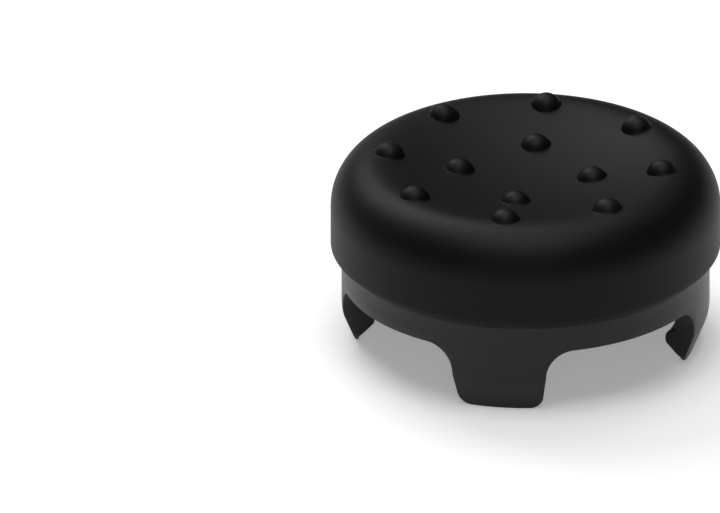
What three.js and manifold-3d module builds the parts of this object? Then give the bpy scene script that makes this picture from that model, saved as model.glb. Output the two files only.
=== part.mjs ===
// A push-on thumb grip for a game controller's thumbstick: a soft rubber cap with a dished top and
// raised nubs, bonded to a hard plastic base whose four clips snap under the head of the stick.
// Sizes are millimetres. Z runs up the grip's axis from the plane of the clip tips, and one clip
// stands on the -Y side.

import * as THREE from "three";
import { mergeVertices } from "three/addons/utils/BufferGeometryUtils.js";
import Module from "manifold-3d";

// The head of the thumbstick that the base snaps over
const stickHeadRadius = 9.0;
const stickHeadHeight = 2.3;
const headClearance = 0.2; // between the head and the wall round it
const headPlay = 0.1; // between the head and the hooks under it

// Clip base: plate, flange and ring
const plateThickness = 1.2;
const seatPadHeight = 0.3;
const seatPadInset = 0.56; // the pad's edge, inside the hook noses
const flangeThickness = 0.4;
const flangeStep = 0.22; // the flange's edge, beyond the ring
const ringWall = 1.18;
const ringHeight = 1.68; // below the flange

// Clip base: the clips, with widths measured round the outside of the ring
const clipCount = 4;
const clipTipHalfWidth = 2.56;
const clipDraftAngle = 4.4; // degrees, each side widening towards the ring
const clipCornerRadius = 0.8;
const clipRootFillet = 1.6;
const clipBendHeight = 2.0; // above the tip, where the outer face turns inwards
const clipBendRadius = 2.0;
const clipLean = 0.82; // the tip's outer edge, inside the ring's outer face
const tipLandWidth = 0.1; // the flat end of a clip
const lipHeight = 0.4; // the thin lip at the tip, up to the foot of the lead-in
const lipInset = 0.16; // the lip's inner face at that foot, inside the tip's outer edge
const leadInRise = 0.85; // the slope that spreads the clips, from the lip up to the nose
const hookHeight = 0.71; // the nose, from the lead-in up to the catch
const hookReach = 0.64; // the nose, inwards from the wall
const hookRounding = 0.45;
const leadInRounding = 0.3;
const catchSlope = 0.08; // how far the catch rises from the nose to the wall

// Rubber cap
const capOverhang = 0.4; // the cap's wall, beyond the flange
const capWallHeight = 2.3; // the straight part of the wall
const rimWidth = 2.6; // from the wall in to the crest of the rim
const rimHeight = 2.8; // from the straight wall up to the crest
const dishDepth = 1.01; // from the crest down to the middle of the dish
const dishFlatness = 14; // the larger, the narrower the turn from dish to crest

// Nubs
const nubRadius = 0.845;
const nubHeight = 0.59;
const outerNubCount = 8;
const outerNubInset = 0.655; // the outer ring of nubs, inside the crest
const innerNubCount = 4;
const nubRingSpacing = 3.97; // between the outer and the inner ring of nubs

// Fineness of the faceted surfaces
const turnSegments = 72;
const dishSteps = 11;
const rimSteps = 9;
const arcStepAngle = 15; // degrees
const nubSegments = 16;
const nubRings = 14;

const overrun = 0.05; // how far a cutting shape runs past the face it cuts
const mergeDistance = 1e-4; // corners closer than this are one corner
const filletShare = 0.98; // of a side, the most that the fillets at its two ends take
const slopeProbe = 0.01; // either side of the radius where the cap's slope is measured

// Radii, from the stick's head outwards
const pocketRadius = stickHeadRadius + headClearance;
const noseRadius = pocketRadius - hookReach;
const seatPadRadius = noseRadius - seatPadInset;
const ringRadius = pocketRadius + ringWall;
const flangeRadius = ringRadius + flangeStep;
const capRadius = flangeRadius + capOverhang;
const crestRadius = capRadius - rimWidth;
const outerNubRing = crestRadius - outerNubInset;
const innerNubRing = outerNubRing - nubRingSpacing;
const tipRadius = ringRadius - clipLean;
const lipRadius = tipRadius - lipInset;

// Heights, from the clip tips upwards
const noseFootZ = lipHeight + leadInRise;
const catchZ = noseFootZ + hookHeight;
const seatPadZ = catchZ + stickHeadHeight + headPlay;
const plateUndersideZ = seatPadZ + seatPadHeight;
const capUndersideZ = plateUndersideZ + plateThickness;
const flangeUndersideZ = capUndersideZ - flangeThickness;
const ringEdgeZ = flangeUndersideZ - ringHeight;
const rimStartZ = capUndersideZ + capWallHeight;
const crestZ = rimStartZ + rimHeight;

const wasm = await Module();
wasm.setup();

// A closed three.js geometry as a solid that can be joined and cut.
function solidOf(geometry) {
  const bare = geometry.index ? geometry.toNonIndexed() : geometry.clone();
  bare.deleteAttribute("normal");
  bare.deleteAttribute("uv");
  const merged = mergeVertices(bare, mergeDistance);
  const vertProperties = merged.attributes.position.array;
  const triVerts = new Uint32Array(merged.index.array);
  return new wasm.Manifold(new wasm.Mesh({ numProp: 3, vertProperties, triVerts }));
}

// A solid back as a three.js geometry with flat-shaded faces.
function geometryOf(solid) {
  const { vertProperties, triVerts } = solid.getMesh();
  const indexed = new THREE.BufferGeometry();
  indexed.setAttribute("position", new THREE.BufferAttribute(vertProperties, 3));
  indexed.setIndex(new THREE.BufferAttribute(triVerts, 1));
  const geometry = indexed.toNonIndexed();
  geometry.computeVertexNormals();
  return geometry;
}

// A profile of [radius, height] points turned about Z, running up the outside of the solid.
function turned(profile) {
  const points = profile.map(([radius, height]) => new THREE.Vector2(radius, height));
  return new THREE.LatheGeometry(points, turnSegments).rotateX(Math.PI / 2);
}

// An outline through [x, y, radius] corners, each rounded by an arc of its radius. Where two arcs
// would meet on the side between them, both shrink until they fit it.
function roundedOutline(corners) {
  const bends = corners.map(([x, y, radius], i) => {
    const [beforeX, beforeY] = corners[(i + corners.length - 1) % corners.length];
    const [afterX, afterY] = corners[(i + 1) % corners.length];
    const back = new THREE.Vector2(beforeX - x, beforeY - y);
    const on = new THREE.Vector2(afterX - x, afterY - y);
    const side = on.length();
    back.normalize();
    on.normalize();
    const halfAngle = Math.acos(THREE.MathUtils.clamp(back.dot(on), -1, 1)) / 2;
    return { corner: new THREE.Vector2(x, y), back, on, side, halfAngle, along: radius / Math.tan(halfAngle) };
  });
  const fit = bends.map((bend, i) => {
    const next = bends[(i + 1) % bends.length];
    return Math.min(1, (filletShare * bend.side) / (bend.along + next.along || bend.side));
  });
  const outline = [];
  bends.forEach(({ corner, back, on, halfAngle, along: wanted }, i) => {
    if (!wanted) {
      outline.push([corner.x, corner.y]);
      return;
    }
    const along = wanted * Math.min(fit[i], fit[(i + bends.length - 1) % bends.length]);
    const arcRadius = along * Math.tan(halfAngle);
    const bisector = back.clone().add(on).normalize();
    const centre = corner.clone().addScaledVector(bisector, arcRadius / Math.sin(halfAngle));
    const start = corner.clone().addScaledVector(back, along).sub(centre);
    const turn = Math.PI - 2 * halfAngle;
    const way = Math.sign(back.y * on.x - back.x * on.y);
    const steps = Math.max(1, Math.ceil(THREE.MathUtils.radToDeg(turn) / arcStepAngle));
    for (let step = 0; step <= steps; step += 1) {
      const spoke = start.clone().rotateAround(new THREE.Vector2(), (way * turn * step) / steps);
      outline.push([centre.x + spoke.x, centre.y + spoke.y]);
    }
  });
  return outline;
}

// Height of the cap's top at a radius: a shallow dish that levels out at the crest, and outside
// it a quarter of an ellipse down to the straight wall.
function capTopZ(radius) {
  if (radius > crestRadius) {
    const across = Math.min((radius - crestRadius) / rimWidth, 1);
    return rimStartZ + rimHeight * Math.sqrt(1 - across * across);
  }
  const share = radius / crestRadius;
  const rise = (dishFlatness * share ** 2 - 2 * share ** dishFlatness) / (dishFlatness - 2);
  return crestZ - dishDepth * (1 - rise);
}

// The cap's section: flat underside, straight wall, rounded rim and dish.
function capProfile() {
  const profile = [
    [0, capUndersideZ],
    [capRadius, capUndersideZ],
    [capRadius, rimStartZ],
  ];
  for (let step = 1; step <= rimSteps; step += 1) {
    const angle = ((Math.PI / 2) * step) / rimSteps;
    profile.push([crestRadius + rimWidth * Math.cos(angle), rimStartZ + rimHeight * Math.sin(angle)]);
  }
  for (let step = dishSteps - 1; step >= 0; step -= 1) {
    const radius = crestRadius * Math.sin(((Math.PI / 2) * step) / dishSteps);
    profile.push([radius, capTopZ(radius)]);
  }
  return profile;
}

// One nub: a ball sunk into the cap along the slope's normal, so that it stands out as a dome.
function nub(ringRadiusOfNub, angle) {
  const ballRadius = (nubRadius ** 2 + nubHeight ** 2) / (2 * nubHeight);
  const before = capTopZ(ringRadiusOfNub - slopeProbe);
  const after = capTopZ(ringRadiusOfNub + slopeProbe);
  const slope = (after - before) / (2 * slopeProbe);
  const normal = new THREE.Vector2(-slope, 1).normalize();
  const sunk = ballRadius - nubHeight;
  const radius = ringRadiusOfNub - normal.x * sunk;
  const height = capTopZ(ringRadiusOfNub) - normal.y * sunk;
  const ball = new THREE.SphereGeometry(ballRadius, nubSegments, nubRings);
  ball.rotateX(Math.PI / 2);
  ball.translate(radius * Math.cos(angle), radius * Math.sin(angle), height);
  return solidOf(ball);
}

// The rubber cap, one moulding with its nubs. The first nub of each ring is in line with a clip.
function rubberCap() {
  let cap = solidOf(turned(capProfile()));
  const rings = [
    [outerNubRing, outerNubCount],
    [innerNubRing, innerNubCount],
  ];
  for (const [ring, count] of rings) {
    for (let i = 0; i < count; i += 1) {
      cap = cap.add(nub(ring, -Math.PI / 2 + (2 * Math.PI * i) / count));
    }
  }
  return cap;
}

// The base's section through a clip: seat pad, plate, pocket wall, hook, tip, ring and flange.
function clipSection() {
  const outline = roundedOutline([
    [0, capUndersideZ, 0],
    [0, seatPadZ, 0],
    [seatPadRadius, seatPadZ, 0],
    [seatPadRadius, plateUndersideZ, 0],
    [pocketRadius, plateUndersideZ, 0],
    [pocketRadius, catchZ + catchSlope, 0],
    [noseRadius, catchZ, hookRounding],
    [noseRadius, noseFootZ, leadInRounding],
    [lipRadius, lipHeight, 0],
    [tipRadius - tipLandWidth, 0, 0],
    [tipRadius, 0, 0],
    [ringRadius, clipBendHeight, clipBendRadius],
    [ringRadius, flangeUndersideZ, 0],
    [flangeRadius, flangeUndersideZ, 0],
    [flangeRadius, capUndersideZ, 0],
  ]);
  // The turned profile starts and ends on the axis: seat pad first, top of the plate last.
  return [...outline.slice(1), outline[0]];
}

// What one clip keeps of the ring below its edge: the clip's outline, drawn round the ring's
// outside and carried in towards the axis, so that its sides are radial.
function clipWedge(angle) {
  const halfAtRing = clipTipHalfWidth + ringEdgeZ * Math.tan(THREE.MathUtils.degToRad(clipDraftAngle));
  const flare = halfAtRing + 2 * clipRootFillet;
  const top = ringEdgeZ + overrun;
  const half = [
    [clipTipHalfWidth, -overrun, clipCornerRadius],
    [halfAtRing, ringEdgeZ, clipRootFillet],
    [flare, ringEdgeZ, 0],
    [flare, top, 0],
  ];
  const mirrored = half.map(([x, y, radius]) => [-x, y, radius]).reverse();
  const outline = roundedOutline([...half, ...mirrored]);
  const shape = new THREE.Shape(outline.map(([x, y]) => new THREE.Vector2(x, y)));
  const reach = flangeRadius - seatPadRadius;
  const wedge = new THREE.ExtrudeGeometry(shape, { depth: reach, bevelEnabled: false });
  wedge.translate(0, 0, seatPadRadius);
  const position = wedge.attributes.position;
  for (let i = 0; i < position.count; i += 1) {
    position.setX(i, position.getZ(i) * Math.tan(position.getX(i) / ringRadius));
  }
  wedge.rotateX(Math.PI / 2);
  wedge.rotateZ(angle);
  return solidOf(wedge);
}

// The base, one moulding: the turned section, with all but the clips cut away below the ring.
function clipBase() {
  const wasteFoot = -2 * overrun; // lower than the wedges, so that nothing is left under them
  const wasteInside = seatPadRadius + overrun;
  const wasteOutside = flangeRadius - overrun;
  let waste = solidOf(
    turned([
      [wasteInside, wasteFoot],
      [wasteOutside, wasteFoot],
      [wasteOutside, ringEdgeZ],
      [wasteInside, ringEdgeZ],
      [wasteInside, wasteFoot],
    ]),
  );
  for (let i = 0; i < clipCount; i += 1) {
    waste = waste.subtract(clipWedge((2 * Math.PI * i) / clipCount));
  }
  return solidOf(turned(clipSection())).subtract(waste);
}

// A named mesh of one solid in one material.
function piece(name, solid, material) {
  const mesh = new THREE.Mesh(geometryOf(solid), material);
  mesh.name = name;
  return mesh;
}

const rubber = new THREE.MeshStandardMaterial({ color: 0x1a1a1a, roughness: 0.8, metalness: 0 });
const plastic = new THREE.MeshStandardMaterial({ color: 0x2c2c2c, roughness: 0.55, metalness: 0 });

const thumbGrip = new THREE.Group();
thumbGrip.add(piece("rubber_cap", rubberCap(), rubber));
thumbGrip.add(piece("clip_base", clipBase(), plastic));

export default thumbGrip;
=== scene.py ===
# %% [markdown]
# # A push-on thumb grip
# A thumb grip is a small cap that is pushed over the stick of a game controller. It has two
# mouldings: a cap of soft black rubber with a dished top and raised nubs, and a hard plastic
# base whose four clips snap under the head of the stick. This lesson makes the fine surface of
# both around a measured model of the same grip, gives them their finishes, and sets up a small
# studio. The measured model comes first, because every piece takes its place from it.

import math

import bmesh
import bpy
from mathutils import Matrix, Vector


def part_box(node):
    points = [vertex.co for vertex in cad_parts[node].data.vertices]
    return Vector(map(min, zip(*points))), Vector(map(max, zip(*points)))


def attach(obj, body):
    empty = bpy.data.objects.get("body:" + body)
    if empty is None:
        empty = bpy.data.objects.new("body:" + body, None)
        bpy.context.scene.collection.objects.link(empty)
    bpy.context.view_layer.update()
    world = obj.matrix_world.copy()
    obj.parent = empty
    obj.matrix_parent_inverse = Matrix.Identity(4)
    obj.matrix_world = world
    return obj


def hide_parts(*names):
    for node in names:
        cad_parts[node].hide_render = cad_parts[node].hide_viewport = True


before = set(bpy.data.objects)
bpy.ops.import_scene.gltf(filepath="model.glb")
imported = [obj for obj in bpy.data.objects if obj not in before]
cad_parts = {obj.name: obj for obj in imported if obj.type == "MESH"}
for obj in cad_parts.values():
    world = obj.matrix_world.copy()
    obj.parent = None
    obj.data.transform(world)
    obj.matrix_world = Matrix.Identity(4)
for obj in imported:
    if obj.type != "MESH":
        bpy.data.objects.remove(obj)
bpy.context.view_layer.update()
print("measured nodes:", sorted(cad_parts))

# %% [markdown]
# ## Working in millimetres
# The grip is only 22 mm across. Blender's unit is the metre, and some of its mesh operators treat
# lengths below a hundredth of a millimetre as nothing when they are written in metres. So each
# piece is modelled in millimetres and made a thousand times smaller when it is finished. The
# outer sizes are read from the measured model, and the finer ones are named where they are used.
# Two points less than a thousandth of a millimetre apart count as one, or half of that where a
# cut or the last merge has to be finer.

# %% Sizes that both pieces share
MM = 0.001
same_point = 0.001
fine_tolerance = 0.0005
cap_low, cap_high = (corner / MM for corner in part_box("rubber_cap"))
base_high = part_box("clip_base")[1] / MM
cap_radius = cap_high.x
seam_z = cap_low.z
flange_radius = base_high.x
print(f"cap radius {cap_radius:.2f} mm, seam at {seam_z:.2f} mm")
print(f"flange radius {flange_radius:.2f} mm")


def finish_piece(bm, name):
    """Merge what coincides, turn all faces out, scale to metres and make the object."""
    bmesh.ops.remove_doubles(bm, verts=bm.verts, dist=fine_tolerance)
    bmesh.ops.recalc_face_normals(bm, faces=bm.faces)
    bmesh.ops.scale(bm, vec=(MM, MM, MM), verts=bm.verts)
    mesh = bpy.data.meshes.new(name)
    bm.to_mesh(mesh)
    open_edges = sum(not edge.is_manifold for edge in bm.edges)
    bm.free()
    piece = bpy.data.objects.new(name, mesh)
    bpy.context.scene.collection.objects.link(piece)
    print(f"{name}: {len(mesh.polygons)} faces, {open_edges} open edges")
    return piece


def chain(bm, points):
    """A chain of edges through (radius, height) points, in the plane that faces -Y."""
    verts = [bm.verts.new((0, -radius, height)) for radius, height in points]
    edges = [bm.edges.new(pair) for pair in zip(verts, verts[1:])]
    return verts + edges


# %% [markdown]
# ## The camera
# The photograph looks down on the grip from about 25 degrees, a little from its right side. It
# was taken from far away with a long lens, so that its near and far edges are drawn at the same
# scale. An orthographic camera does the same without a distance to guess. The grip fills the
# right part of the picture, so the camera is aimed at a point beside it instead of being shifted.

# %% Camera
picture_width = 720
picture_height = 513
pixels_per_mm = 17.735
seam_centre_px = (525.6, 242.19)
camera_azimuth = math.radians(8.59)
camera_elevation = math.radians(25.13)
camera_distance = 300 * MM

camera_right = Vector((math.cos(camera_azimuth), math.sin(camera_azimuth), 0))
camera_back = Vector((
    math.sin(camera_azimuth) * math.cos(camera_elevation),
    -math.cos(camera_azimuth) * math.cos(camera_elevation),
    math.sin(camera_elevation),
))
camera_up = camera_back.cross(camera_right)
across = (picture_width / 2 - seam_centre_px[0]) / pixels_per_mm
upwards = (seam_centre_px[1] - picture_height / 2) / pixels_per_mm
aim = Vector((0, 0, seam_z)) + camera_right * across + camera_up * upwards

camera = bpy.data.objects.new("camera", bpy.data.cameras.new("camera"))
camera.data.type = "ORTHO"
camera.data.ortho_scale = picture_width / pixels_per_mm * MM
camera.data.clip_start = 1 * MM
camera.data.clip_end = 10
camera.location = aim * MM + camera_back * camera_distance
camera.rotation_mode = "QUATERNION"
camera.rotation_quaternion = camera_back.to_track_quat("Z", "Y")
bpy.context.scene.collection.objects.link(camera)
bpy.context.scene.camera = camera
bpy.context.scene.view_settings.view_transform = "Standard"
print(f"camera frame is {camera.data.ortho_scale / MM:.1f} mm wide")

# %% [markdown]
# ## The rubber cap: its section
# The cap is round, so it could be a cylinder that is sculpted, or a section that is spun about
# the axis. The spin is chosen, because the whole form is in one short curve that can be measured:
# a flat underside, a straight wall, a quarter of an ellipse for the soft rim, and a dish that
# falls gently from the crest to the middle.

# %% The section of the cap
wall_height = 2.3
rim_width = 2.6
rim_height = 2.8
dish_depth = 1.01
dish_flatness = 14
lower_edge_rounding = 0.07

crest_radius = cap_radius - rim_width
rim_start_z = seam_z + wall_height
crest_z = rim_start_z + rim_height


def cap_top_z(radius):
    """Height of the cap's top at a radius: the dish inside the crest, the rim outside it."""
    if radius > crest_radius:
        share = min((radius - crest_radius) / rim_width, 1)
        return rim_start_z + rim_height * math.sqrt(1 - share * share)
    share = radius / crest_radius
    rise = (dish_flatness * share**2 - 2 * share**dish_flatness) / (dish_flatness - 2)
    return crest_z - dish_depth * (1 - rise)


def spaced(first, last, steps):
    """Evenly spaced values from the first to the last."""
    return [first + (last - first) * step / steps for step in range(steps + 1)]


dish_steps = 40
rim_steps = 22
wall_steps = 8
edge_steps = 4
underside_steps = 12
cap_section = [(radius, cap_top_z(radius)) for radius in spaced(0, crest_radius, dish_steps)]
for angle in spaced(0, math.pi / 2, rim_steps)[1:]:
    radius = crest_radius + rim_width * math.sin(angle)
    cap_section.append((radius, rim_start_z + rim_height * math.cos(angle)))
for height in spaced(rim_start_z, seam_z + lower_edge_rounding, wall_steps)[1:]:
    cap_section.append((cap_radius, height))
for angle in spaced(0, math.pi / 2, edge_steps)[1:]:
    inset = lower_edge_rounding * (1 - math.cos(angle))
    drop = lower_edge_rounding * math.sin(angle)
    cap_section.append((cap_radius - inset, seam_z + lower_edge_rounding - drop))
for radius in spaced(cap_radius - lower_edge_rounding, 0, underside_steps)[1:]:
    cap_section.append((radius, seam_z))
print(f"crest at radius {crest_radius:.2f} mm, height {crest_z:.2f} mm; {len(cap_section)} points")

# %% [markdown]
# ## The rubber cap: spin and nub holes
# A full spin with use_merge closes the seam, and the doubles at the two poles are merged. Each nub
# is then let into the top: the faces under it are deleted, which leaves a small ragged hole, and
# the hole is filled again by the nub's own rings. A boolean would join balls to the cap faster,
# but it leaves a hard crease round each foot, where the moulded nub has a soft one.

# %% Spin the cap and cut a hole for each nub
cap_turns = 240
nub_radius = 0.845
nub_height = 0.59
outer_nub_inset = 0.655
nub_ring_spacing = 3.97
outer_nub_ring = crest_radius - outer_nub_inset
inner_nub_ring = outer_nub_ring - nub_ring_spacing
patch_radius = 1.12
hole_margin = 0.12

nub_places = []
for ring, count in ((outer_nub_ring, 8), (inner_nub_ring, 4)):
    for turn in range(count):
        nub_places.append((ring, -math.pi / 2 + 2 * math.pi * turn / count))

cap = bmesh.new()
bmesh.ops.spin(
    cap, geom=chain(cap, cap_section), cent=(0, 0, 0), axis=(0, 0, 1), dvec=(0, 0, 0),
    angle=2 * math.pi, steps=cap_turns, use_merge=True, use_duplicate=False,
)
bmesh.ops.remove_doubles(cap, verts=cap.verts, dist=same_point)


def nub_centre(place):
    """Where the axis of a nub meets the cap's top."""
    ring, angle = place
    return Vector((ring * math.cos(angle), ring * math.sin(angle), cap_top_z(ring)))


def is_under_nub(point):
    """Whether a point of the cap's top lies under one of the nubs."""
    if point.z < rim_start_z:
        return False
    hole_radius = patch_radius + hole_margin
    return any((point - nub_centre(place)).length < hole_radius for place in nub_places)


under_nubs = [f for f in cap.faces if is_under_nub(f.calc_center_median())]
bmesh.ops.delete(cap, geom=under_nubs, context="FACES")
print(f"cap: {len(cap.faces)} faces left, {len(under_nubs)} removed under {len(nub_places)} nubs")

# %% [markdown]
# ## The nubs: one nub's form
# A nub is a ball sunk into the top so that a dome stands out, with a soft foot as a mould leaves
# it. Its height over any point is that of the ball or that of the cap's top, whichever is higher.
# Where the two are nearly level, a smooth maximum rounds the corner between them. The foot needs
# more rings than the dome, because it turns the surface within a tenth of a millimetre.

# %% The form of a nub
dome_rings = 16
foot_steps = (0.01, 0.02, 0.032, 0.045, 0.06, 0.08, 0.11, 0.15)
foot_softness = 0.16
lift_rounds = 4
ball_radius = (nub_radius**2 + nub_height**2) / (2 * nub_height)
sunk = ball_radius - nub_height


def smooth_max(first, second, softness):
    """The higher of two heights, with the corner between them rounded."""
    blend = max(softness - abs(first - second), 0) / softness
    return max(first, second) + blend * blend * softness / 4


def surface_lift(base, normal):
    """How far along the normal a point has to go to reach the cap's top."""
    lift = 0.0
    for _ in range(lift_rounds):
        point = base + normal * lift
        gap = cap_top_z(math.hypot(point.x, point.y)) - point.z
        lift += gap / normal.z
    return lift


def spoke_radii():
    """Distances of a nub's rings from its axis: even along the dome, then close at the foot."""
    dome_angle = math.asin(nub_radius / ball_radius)
    dome = [ball_radius * math.sin(angle) for angle in spaced(0, dome_angle, dome_rings)]
    foot = [nub_radius + step for step in foot_steps]
    return dome + foot + [patch_radius]


print(f"a nub is part of a ball of radius {ball_radius:.2f} mm, on {len(spoke_radii())} rings")

# %% [markdown]
# ## The nubs: let them into the cap
# Each nub is a disc of rings, spun from a straight spoke and laid on the cap with its axis square
# to the surface. Its points are then lifted along that axis to the nub's form. Its edge lies on the
# cap's top again, so a bridge of faces between it and the ragged hole closes the cap.

# %% Spin, lift and bridge each nub
nub_spokes = 56
small_step = 0.01


def add_nub(bm, place):
    """Spin a disc of rings, lift it onto ball and surface, and join it to the hole's edge."""
    ring, angle = place
    centre = nub_centre(place)
    slope = (cap_top_z(ring + small_step) - cap_top_z(ring - small_step)) / (2 * small_step)
    outwards = Vector((math.cos(angle), math.sin(angle), 0))
    normal = (Vector((0, 0, 1)) - outwards * slope).normalized()
    turn = Vector((0, 0, 1)).rotation_difference(normal).to_matrix()
    hole_reach = 1.5 * patch_radius
    edges_here = [e for e in bm.edges if (e.verts[0].co - centre).length < hole_reach]
    hole = [edge for edge in edges_here if edge.is_boundary]
    spoke = chain(bm, [(radius, 0) for radius in spoke_radii()])
    bmesh.ops.spin(
        bm, geom=spoke, cent=(0, 0, 0), axis=(0, 0, 1), dvec=(0, 0, 0),
        angle=2 * math.pi, steps=nub_spokes, use_merge=True, use_duplicate=False,
    )
    flat_verts = [v for v in bm.verts if v.co.z == 0]
    disc = [v for v in flat_verts if math.hypot(v.co.x, v.co.y) < patch_radius + small_step]
    bmesh.ops.remove_doubles(bm, verts=disc, dist=same_point)
    disc = [v for v in disc if v.is_valid]
    rim = {e for v in disc for e in v.link_edges if e.is_boundary}
    for vert in disc:
        away = math.hypot(vert.co.x, vert.co.y)
        base = centre + turn @ vert.co
        surface = surface_lift(base, normal)
        ball = math.sqrt(ball_radius**2 - away**2) - sunk if away < ball_radius else -nub_height
        vert.co = base + normal * smooth_max(ball, surface, foot_softness)
    bmesh.ops.bridge_loops(bm, edges=hole + list(rim))


for place in nub_places:
    add_nub(cap, place)
rubber_cap = finish_piece(cap, "rubber_cap_skin")

# %% [markdown]
# ## The clip base: the section of a clip
# The base is one moulding too: a plate under the cap with a thin flange, a ring below it, and four
# clips that hang from the ring. Seen from the side, a clip's outer face leans in at the tip, and
# its inner face carries the hook: a slope that spreads the clips as the grip is pushed on, a
# rounded nose, and a flat catch above it. Each face is written as a radius for every height.

# %% The two faces of a clip
flange_overhang = 0.22
ring_radius = flange_radius - flange_overhang
ring_wall = 1.18
ring_height = 1.68
flange_thickness = 0.4
flange_under_z = seam_z - flange_thickness
ring_edge_z = flange_under_z - ring_height
pocket_radius = ring_radius - ring_wall

hook_reach = 0.64
nose_radius = pocket_radius - hook_reach
nose_rounding = 0.45
lead_in_height = 0.85
lead_in_rounding = 0.3
lip_height = 0.4
nose_height = 0.71
nose_foot_z = lip_height + lead_in_height
catch_z = nose_foot_z + nose_height
catch_slope = 0.08
tip_lean = 0.82
tip_radius = ring_radius - tip_lean
tip_land = 0.1
lip_inset = 0.16
lip_radius = tip_radius - lip_inset
bend_height = 2.0
bend_radius = 2.0


def rounded(corners, steps=8):
    """Points through (x, y, rounding) corners, each rounded by an arc that touches both sides."""
    points = []
    for index, (x, y, rounding) in enumerate(corners):
        corner = Vector((x, y))
        if not rounding:
            points.append((x, y))
            continue
        back = (Vector(corners[index - 1][:2]) - corner).normalized()
        onward = (Vector(corners[index + 1][:2]) - corner).normalized()
        half = back.angle(onward) / 2
        centre = corner + (back + onward).normalized() * (rounding / math.sin(half))
        start = corner + back * (rounding / math.tan(half)) - centre
        sweep = math.copysign(math.pi - 2 * half, -back.cross(onward))
        for turn in spaced(0, sweep, steps):
            spoke = start.copy()
            spoke.rotate(Matrix.Rotation(turn, 2))
            points.append(tuple(centre + spoke))
    return points


inner_face = rounded([
    (tip_radius - tip_land, 0, 0),
    (lip_radius, lip_height, 0),
    (nose_radius, nose_foot_z, lead_in_rounding),
    (nose_radius, catch_z, nose_rounding),
    (pocket_radius, catch_z + catch_slope, 0),
    (pocket_radius, ring_edge_z, 0),
])
outer_face = rounded([
    (tip_radius, 0, 0),
    (ring_radius, bend_height, bend_radius),
    (ring_radius, ring_edge_z, 0),
])
print(f"clip: inner face {len(inner_face)} points, outer face {len(outer_face)} points")

# %% [markdown]
# ## The clip base: a flat blank
# The ring with its clips is like a strip of sheet that was cut out flat and rolled up, so it is
# made that way. On the flat strip the outline of a clip is plain: a large fillet under the ring, a
# slight draft, rounded lower corners. The fillets and the soft moulded edges are easy to make while
# the strip is one flat slab, and very hard to make on the rolled one.

# %% Outline, thickness and soft edges of the blank
clip_count = 4
clip_half_width = 2.56
clip_draft = math.radians(4.4)
clip_corner = 0.8
clip_root_fillet = 1.6
edge_softness = 0.07
blank_margin = 0.6
weld_z = ring_edge_z + blank_margin
blank_length = 2 * math.pi * ring_radius
pitch = blank_length / clip_count


def clip_outline(middle):
    """One clip's outline on the flat blank, down its left side and up its right."""
    half_at_ring = clip_half_width + ring_edge_z * math.tan(clip_draft)
    right = rounded([
        (0, 0, 0),
        (clip_half_width, 0, clip_corner),
        (half_at_ring, ring_edge_z, clip_root_fillet),
        (pitch / 2, ring_edge_z, 0),
    ], steps=14)[1:-1]
    left = [(-x, z) for x, z in reversed(right)]
    return [(middle + x, z) for x, z in left + right]


blank_outline = [(0, weld_z), (0, ring_edge_z)]
for index in range(clip_count):
    blank_outline += clip_outline(pitch * (index + 0.5))
blank_outline += [(blank_length, ring_edge_z), (blank_length, weld_z)]

base = bmesh.new()
slab = base.faces.new([base.verts.new((x, 0, z)) for x, z in blank_outline])
grown = bmesh.ops.extrude_face_region(base, geom=[slab])["geom"]
back_verts = [item for item in grown if isinstance(item, bmesh.types.BMVert)]
bmesh.ops.translate(base, vec=(0, ring_wall, 0), verts=back_verts)


def is_free_edge(edge):
    """Whether an edge runs along the lower outline, on the front or the back of the blank."""
    first, second = (vert.co for vert in edge.verts)
    touches_top = max(first.z, second.z) > ring_edge_z + same_point
    return first.y == second.y and not touches_top


soft = [edge for edge in base.edges if is_free_edge(edge)]
bmesh.ops.bevel(
    base, geom=soft, offset=edge_softness, offset_type="OFFSET", segments=3, profile=0.5,
    affect="EDGES", material=-1, clamp_overlap=False,
)
print(f"blank: {blank_length:.1f} mm long, {len(soft)} edges softened")

# %% [markdown]
# ## The clip base: cut the blank into strips and roll it up
# A flat face can't bend where it has no edges. So the blank is cut by planes first: across, once
# for each step of the spin that makes the rest of the base, and along, at each height where a
# face of the clip turns. Then every point is moved: its place along the blank becomes an angle, and
# its depth becomes a radius between the outer and the inner face of the clip.

# %% Cut and roll
base_turns = 240
seam_angle = -math.pi / 2 - math.pi / clip_count


def radius_at(face, height):
    """Radius of a clip's face at a height."""
    for (r_low, z_low), (r_high, z_high) in zip(face, face[1:]):
        if height <= z_high:
            share = (height - z_low) / (z_high - z_low)
            return r_low + (r_high - r_low) * share
    return face[-1][0]


def is_joint(face):
    """Whether a face closes the blank where it is joined later: at its ends or along its top."""
    at_end = all(min(v.co.x, blank_length - v.co.x) < same_point for v in face.verts)
    return at_end or all(v.co.z > weld_z - same_point for v in face.verts)


def cut(bm, place, normal):
    """Cut all faces of a mesh along a plane."""
    everything = bm.verts[:] + bm.edges[:] + bm.faces[:]
    bmesh.ops.bisect_plane(
        bm, geom=everything, dist=fine_tolerance, plane_co=place, plane_no=normal,
    )


joints = [face for face in base.faces if is_joint(face)]
bmesh.ops.delete(base, geom=joints, context="FACES")
turning_heights = sorted(z for _, z in inner_face + outer_face if 0 < z < weld_z)
for height in turning_heights:
    cut(base, (0, 0, height), (0, 0, 1))
for place in spaced(0, blank_length, base_turns)[1:-1]:
    cut(base, (place, 0, 0), (1, 0, 0))
for vert in base.verts:
    place, depth, height = vert.co
    outer = radius_at(outer_face, height)
    inner = radius_at(inner_face, height)
    radius = outer + (inner - outer) * depth / ring_wall
    angle = seam_angle + 2 * math.pi * place / blank_length
    vert.co = (radius * math.cos(angle), radius * math.sin(angle), height)
print(f"rolled blank: {len(base.faces)} faces")

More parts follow.
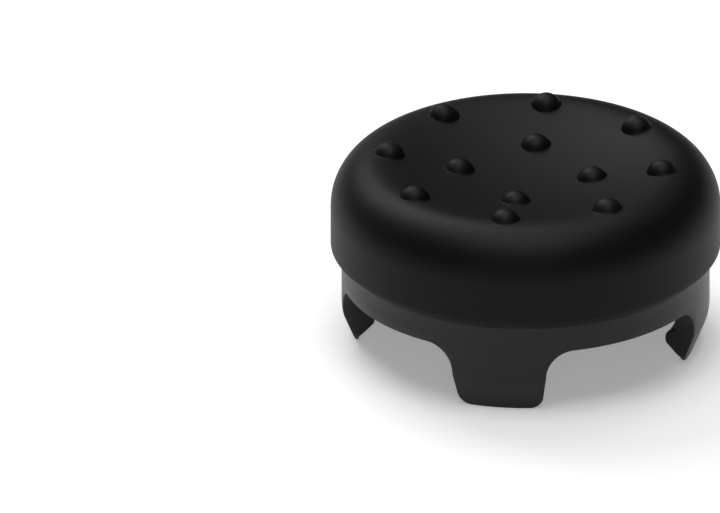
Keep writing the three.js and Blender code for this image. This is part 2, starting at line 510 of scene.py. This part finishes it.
# %% [markdown]
# ## The clip base: plate, flange and seat
# What is left of the base is round, so it is spun, with as many steps as the blank has strips, and
# from the same angle. Its lower edges then lie exactly on the upper edges of the rolled blank, and
# merging the doubles joins the two into one closed shell.

# %% Spin the plate and join it
plate_thickness = 1.2
seat_pad_height = 0.3
seat_pad_inset = 0.56
seat_pad_radius = nose_radius - seat_pad_inset
flange_root_rounding = 0.04
seam_edge_rounding = 0.03
pocket_rounding = 0.1
pad_root_rounding = 0.05
plate_under_z = seam_z - plate_thickness
seat_z = plate_under_z - seat_pad_height

outer_side = rounded([
    (ring_radius, weld_z, 0),
    (ring_radius, flange_under_z, flange_root_rounding),
    (flange_radius, flange_under_z, edge_softness),
    (flange_radius, seam_z, seam_edge_rounding),
    (0, seam_z, 0),
], steps=3)
inner_side = rounded([
    (pocket_radius, weld_z, 0),
    (pocket_radius, plate_under_z, pocket_rounding),
    (seat_pad_radius, plate_under_z, pad_root_rounding),
    (seat_pad_radius, seat_z, edge_softness),
    (0, seat_z, 0),
], steps=3)
for side in (outer_side, inner_side):
    section = chain(base, side)
    bmesh.ops.rotate(
        base, cent=(0, 0, 0), matrix=Matrix.Rotation(-math.pi / clip_count, 3, "Z"),
        verts=[item for item in section if isinstance(item, bmesh.types.BMVert)],
    )
    bmesh.ops.spin(
        base, geom=section, cent=(0, 0, 0), axis=(0, 0, 1), dvec=(0, 0, 0),
        angle=2 * math.pi, steps=base_turns, use_merge=True, use_duplicate=False,
    )
clip_base = finish_piece(base, "clip_base_skin")

# %% [markdown]
# ## Smooth shading
# Both mouldings are smooth all over, with soft edges, so all faces are shaded smooth. The few real
# corners, such as the one between the pocket and the catch of a hook, are marked sharp by their
# angle, so that the shading doesn't bleed round them.

# %% Shade both pieces
sharp_angle = math.radians(40)
for piece in (rubber_cap, clip_base):
    piece.data.shade_smooth()
    piece.data.set_sharp_from_angle(angle=sharp_angle)
    print(piece.name, "has", sum(edge.use_edge_sharp for edge in piece.data.edges), "sharp edges")

# %% [markdown]
# ## Finishes: noise and what it drives
# Both finishes are one Principled shader whose colour, roughness and bump come from noise. Object
# coordinates are used, because they are real lengths that stay on the piece, so a grain of a tenth
# of a millimetre can be asked for as such. These helpers make the noise, turn its 0 to 1 into a
# value or a colour between two others, and raise the surface by it.

# %% Start a finish and give it noise


def new_finish(name):
    """A new finish, its nodes and links, its Principled shader and its Object coordinates."""
    finish = bpy.data.materials.new(name)
    finish.use_nodes = True
    nodes = finish.node_tree.nodes
    shader = nodes["Principled BSDF"]
    coordinates = nodes.new("ShaderNodeTexCoord")
    return finish, nodes, finish.node_tree.links, shader, coordinates.outputs["Object"]


def noise(nodes, links, coordinates, grain_mm, detail=2.0):
    """Noise whose cells are about grain_mm across."""
    texture = nodes.new("ShaderNodeTexNoise")
    texture.inputs["Scale"].default_value = 1 / (grain_mm * MM)
    texture.inputs["Detail"].default_value = detail
    links.new(coordinates, texture.inputs["Vector"])
    return texture.outputs["Fac"]


# %% Values, colours and bumps that follow a noise


def between(nodes, links, factor, low, high):
    """A value that follows a 0 to 1 factor from low to high."""
    reach = nodes.new("ShaderNodeMapRange")
    reach.inputs["To Min"].default_value = low
    reach.inputs["To Max"].default_value = high
    links.new(factor, reach.inputs["Value"])
    return reach.outputs["Result"]


def grey_between(nodes, links, factor, low, high):
    """A colour that follows a 0 to 1 factor between two colours."""
    ramp = nodes.new("ShaderNodeMix")
    ramp.data_type = "RGBA"
    links.new(factor, ramp.inputs["Factor"])
    ramp.inputs["A"].default_value = (*low, 1)
    ramp.inputs["B"].default_value = (*high, 1)
    return ramp.outputs["Result"]


def bump(nodes, links, height, distance_mm, strength):
    """Raise a surface by a 0 to 1 height, with the given depth in millimetres."""
    raised = nodes.new("ShaderNodeBump")
    raised.inputs["Distance"].default_value = distance_mm * MM
    raised.inputs["Strength"].default_value = strength
    links.new(height, raised.inputs["Height"])
    return raised.outputs["Normal"]


# %% [markdown]
# ## Finish of the cap
# The cap is black rubber with a soft-touch surface. It is nearly black by itself, and what shows
# of its form is a broad dull reflection. A fine grain breaks that reflection up, and larger, very
# faint clouds vary it, as the surface of a moulded rubber part does.

# %% Soft black rubber
rubber_grain_mm = 0.09
rubber_cloud_mm = 2.5
cloud_detail = 3
rubber_dark = (0.002, 0.0021, 0.0022)
rubber_pale = (0.0031, 0.0032, 0.0033)
rubber_roughness = (0.48, 0.56)
rubber_bump_mm = 0.006
rubber_bump_strength = 0.9

rubber, nodes, links, shader, coordinates = new_finish("soft_black_rubber")
grain = noise(nodes, links, coordinates, rubber_grain_mm)
clouds = noise(nodes, links, coordinates, rubber_cloud_mm, detail=cloud_detail)
tint = grey_between(nodes, links, clouds, rubber_dark, rubber_pale)
links.new(tint, shader.inputs["Base Color"])
links.new(between(nodes, links, grain, *rubber_roughness), shader.inputs["Roughness"])
raised = bump(nodes, links, grain, rubber_bump_mm, rubber_bump_strength)
links.new(raised, shader.inputs["Normal"])
shader.inputs["Specular IOR Level"].default_value = 0.16
rubber_cap.data.materials.append(rubber)
print(f"{rubber.name}: {len(nodes)} nodes")

# %% [markdown]
# ## Finish of the base
# The base is dark grey plastic from a polished mould that was blasted very finely. It is a little
# lighter and smoother than the rubber, so it takes a clearer reflection along its outer edge. The
# flange under the cap is given painted shade, darker and less glossy than the rest, for the shadow
# of the cap's overhang, and a thin strip of the ring just below it gets a painted shadow line.
# Height above the tips tells the shader where it is.

# %% Satin dark grey plastic
plastic_grain_mm = 0.04
plastic_cloud_mm = 4.0
plastic_dark = (0.0125, 0.0125, 0.0125)
plastic_pale = (0.0155, 0.0155, 0.0155)
plastic_roughness = (0.38, 0.46)
plastic_bump_mm = 0.003
plastic_bump_strength = 0.4
# Painted shade: a darker colour and a weaker reflection on the flange and on a strip just below it
# stand in for the shadow of the cap and of the flange's step.
unshaded = (1, 1, 1)
painted_shade_share = (0.55, 0.55, 0.55)
painted_shade_gloss = (0.27, 0.16)
painted_shade_from_z = flange_under_z - 0.18
painted_shade_above_z = flange_under_z - 0.12

plastic, nodes, links, shader, coordinates = new_finish("satin_grey_plastic")
grain = noise(nodes, links, coordinates, plastic_grain_mm)
clouds = noise(nodes, links, coordinates, plastic_cloud_mm, detail=cloud_detail)
height = nodes.new("ShaderNodeSeparateXYZ")
links.new(coordinates, height.inputs["Vector"])
# Mask of the painted shade: full on the flange, fading out over a strip just below its underside.
flange = nodes.new("ShaderNodeMapRange")
flange.interpolation_type = "SMOOTHSTEP"
flange.inputs["From Min"].default_value = painted_shade_from_z * MM
flange.inputs["From Max"].default_value = painted_shade_above_z * MM
links.new(height.outputs["Z"], flange.inputs["Value"])
tint = grey_between(nodes, links, clouds, plastic_dark, plastic_pale)
# The painted shade darkens the colour under the mask.
painted_shade_tint = grey_between(nodes, links, flange.outputs["Result"], unshaded, painted_shade_share)
shade = nodes.new("ShaderNodeMix")
shade.data_type = "RGBA"
shade.blend_type = "MULTIPLY"
shade.inputs["Factor"].default_value = 1
links.new(tint, shade.inputs["A"])
links.new(painted_shade_tint, shade.inputs["B"])
links.new(shade.outputs["Result"], shader.inputs["Base Color"])
# The painted shade also weakens the reflection under the mask.
gloss = between(nodes, links, flange.outputs["Result"], *painted_shade_gloss)
links.new(gloss, shader.inputs["Specular IOR Level"])
links.new(between(nodes, links, grain, *plastic_roughness), shader.inputs["Roughness"])
raised = bump(nodes, links, grain, plastic_bump_mm, plastic_bump_strength)
links.new(raised, shader.inputs["Normal"])
clip_base.data.materials.append(plastic)
print(f"{plastic.name}: {len(nodes)} nodes")

# %% [markdown]
# ## A white that glows a little
# The photograph has a plain white background. A floor that is only painted white comes out grey
# where the lamps are weak. So its paint gets a little light of its own, but only for rays that show
# it: from the camera, from a mirror or through glass. Nothing matt is lit by it, so the
# shadow stays.

# %% The white of the studio floor


def seen_directly(nodes, links):
    """1 for rays from the camera, from a mirror or through glass, otherwise 0."""
    path = nodes.new("ShaderNodeLightPath")
    first = nodes.new("ShaderNodeMath")
    first.operation = "MAXIMUM"
    links.new(path.outputs["Is Camera Ray"], first.inputs[0])
    links.new(path.outputs["Is Glossy Ray"], first.inputs[1])
    second = nodes.new("ShaderNodeMath")
    second.operation = "MAXIMUM"
    links.new(first.outputs["Value"], second.inputs[0])
    links.new(path.outputs["Is Transmission Ray"], second.inputs[1])
    return second.outputs["Value"]


def studio_white(name, glow, colour):
    """White that glows a little for direct and mirrored rays, and can't be seen from behind."""
    white = bpy.data.materials.new(name)
    white.use_nodes = True
    nodes, links = white.node_tree.nodes, white.node_tree.links
    nodes.clear()
    paint = nodes.new("ShaderNodeBsdfDiffuse")
    paint.inputs["Color"].default_value = (colour, colour, colour, 1)
    lamp = nodes.new("ShaderNodeEmission")
    share = nodes.new("ShaderNodeMath")
    share.operation = "MULTIPLY"
    share.inputs[1].default_value = glow
    links.new(seen_directly(nodes, links), share.inputs[0])
    links.new(share.outputs["Value"], lamp.inputs["Strength"])
    both = nodes.new("ShaderNodeAddShader")
    links.new(paint.outputs["BSDF"], both.inputs[0])
    links.new(lamp.outputs["Emission"], both.inputs[1])
    clear = nodes.new("ShaderNodeBsdfTransparent")
    one_sided = nodes.new("ShaderNodeMixShader")
    side = nodes.new("ShaderNodeNewGeometry")
    links.new(side.outputs["Backfacing"], one_sided.inputs["Fac"])
    links.new(both.outputs["Shader"], one_sided.inputs[1])
    links.new(clear.outputs["BSDF"], one_sided.inputs[2])
    output = nodes.new("ShaderNodeOutputMaterial")
    links.new(one_sided.outputs["Shader"], output.inputs["Surface"])
    return white


# %% [markdown]
# ## The floor
# The floor is a flat square, so large that its edge is never in the picture. It is also the
# backdrop of every view from above. From below it is clear, so that the underside can be seen too.

# %% Floor
floor_half = 1.5
floor_glow = 0.32
floor_colour = 0.85
floor_mesh = bmesh.new()
bmesh.ops.create_grid(floor_mesh, x_segments=1, y_segments=1, size=floor_half)
floor_data = bpy.data.meshes.new("floor")
floor_mesh.to_mesh(floor_data)
floor_mesh.free()
floor = bpy.data.objects.new("floor", floor_data)
floor_data.materials.append(studio_white("studio_floor", floor_glow, floor_colour))
bpy.context.scene.collection.objects.link(floor)
print(f"floor {2 * floor_half:.0f} m square")

# %% [markdown]
# ## The room
# The room is white where the camera sees it past the floor, and dim for all other rays, because a
# black object only shows its form where its surroundings aren't all bright.

# %% World
room_level = 0.02
white_level = 1.0

world = bpy.data.worlds.new("studio")
bpy.context.scene.world = world
world.use_nodes = True
nodes, links = world.node_tree.nodes, world.node_tree.links
nodes.clear()
room = nodes.new("ShaderNodeBackground")
room.inputs["Color"].default_value = (1, 1, 1, 1)
room.inputs["Strength"].default_value = room_level
white_room = nodes.new("ShaderNodeBackground")
white_room.inputs["Color"].default_value = (1, 1, 1, 1)
white_room.inputs["Strength"].default_value = white_level
choice = nodes.new("ShaderNodeMixShader")
path = nodes.new("ShaderNodeLightPath")
links.new(path.outputs["Is Camera Ray"], choice.inputs["Fac"])
links.new(room.outputs["Background"], choice.inputs[1])
links.new(white_room.outputs["Background"], choice.inputs[2])
output = nodes.new("ShaderNodeOutputWorld")
links.new(choice.outputs["Shader"], output.inputs["Surface"])
print(f"room light {room_level}, and white to the camera")

# %% [markdown]
# ## Lamps
# Four soft square lamps stand round the grip, all at the same distance. One above and slightly in
# front draws the broad highlight on the near rim, and one above and behind lights the far part of
# the dish. One from the back left gives the dish and the nubs their sheen, and a weak one in front
# fills the wall and the clips. The sides get none, so the cap's wall falls off to black there.

# %% Lamps
lamp_distance = 0.4


def soft_lamp(name, azimuth, elevation, size, power):
    """A square area lamp that looks at the grip. Azimuth 0 is the camera's side of -Y."""
    lamp = bpy.data.objects.new(name, bpy.data.lights.new(name, "AREA"))
    turn, tilt = math.radians(azimuth), math.radians(elevation)
    way = Vector((
        math.sin(turn) * math.cos(tilt), -math.cos(turn) * math.cos(tilt), math.sin(tilt),
    ))
    lamp.location = way * lamp_distance
    lamp.rotation_mode = "QUATERNION"
    lamp.rotation_quaternion = way.to_track_quat("Z", "Y")
    lamp.data.shape = "SQUARE"
    lamp.data.size = size
    lamp.data.energy = power
    bpy.context.scene.collection.objects.link(lamp)
    print(f"{name}: {power} W, {size} m square")


soft_lamp("near_top_lamp", azimuth=0, elevation=78, size=0.25, power=0.8)
soft_lamp("far_top_lamp", azimuth=180, elevation=68, size=0.2, power=0.3)
soft_lamp("back_left_lamp", azimuth=221, elevation=45, size=0.22, power=0.7)
soft_lamp("front_lamp", azimuth=8, elevation=28, size=0.17, power=0.1)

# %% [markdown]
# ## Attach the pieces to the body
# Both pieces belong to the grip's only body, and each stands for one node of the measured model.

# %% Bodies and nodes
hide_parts("rubber_cap")
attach(rubber_cap, "root")
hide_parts("clip_base")
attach(clip_base, "root")
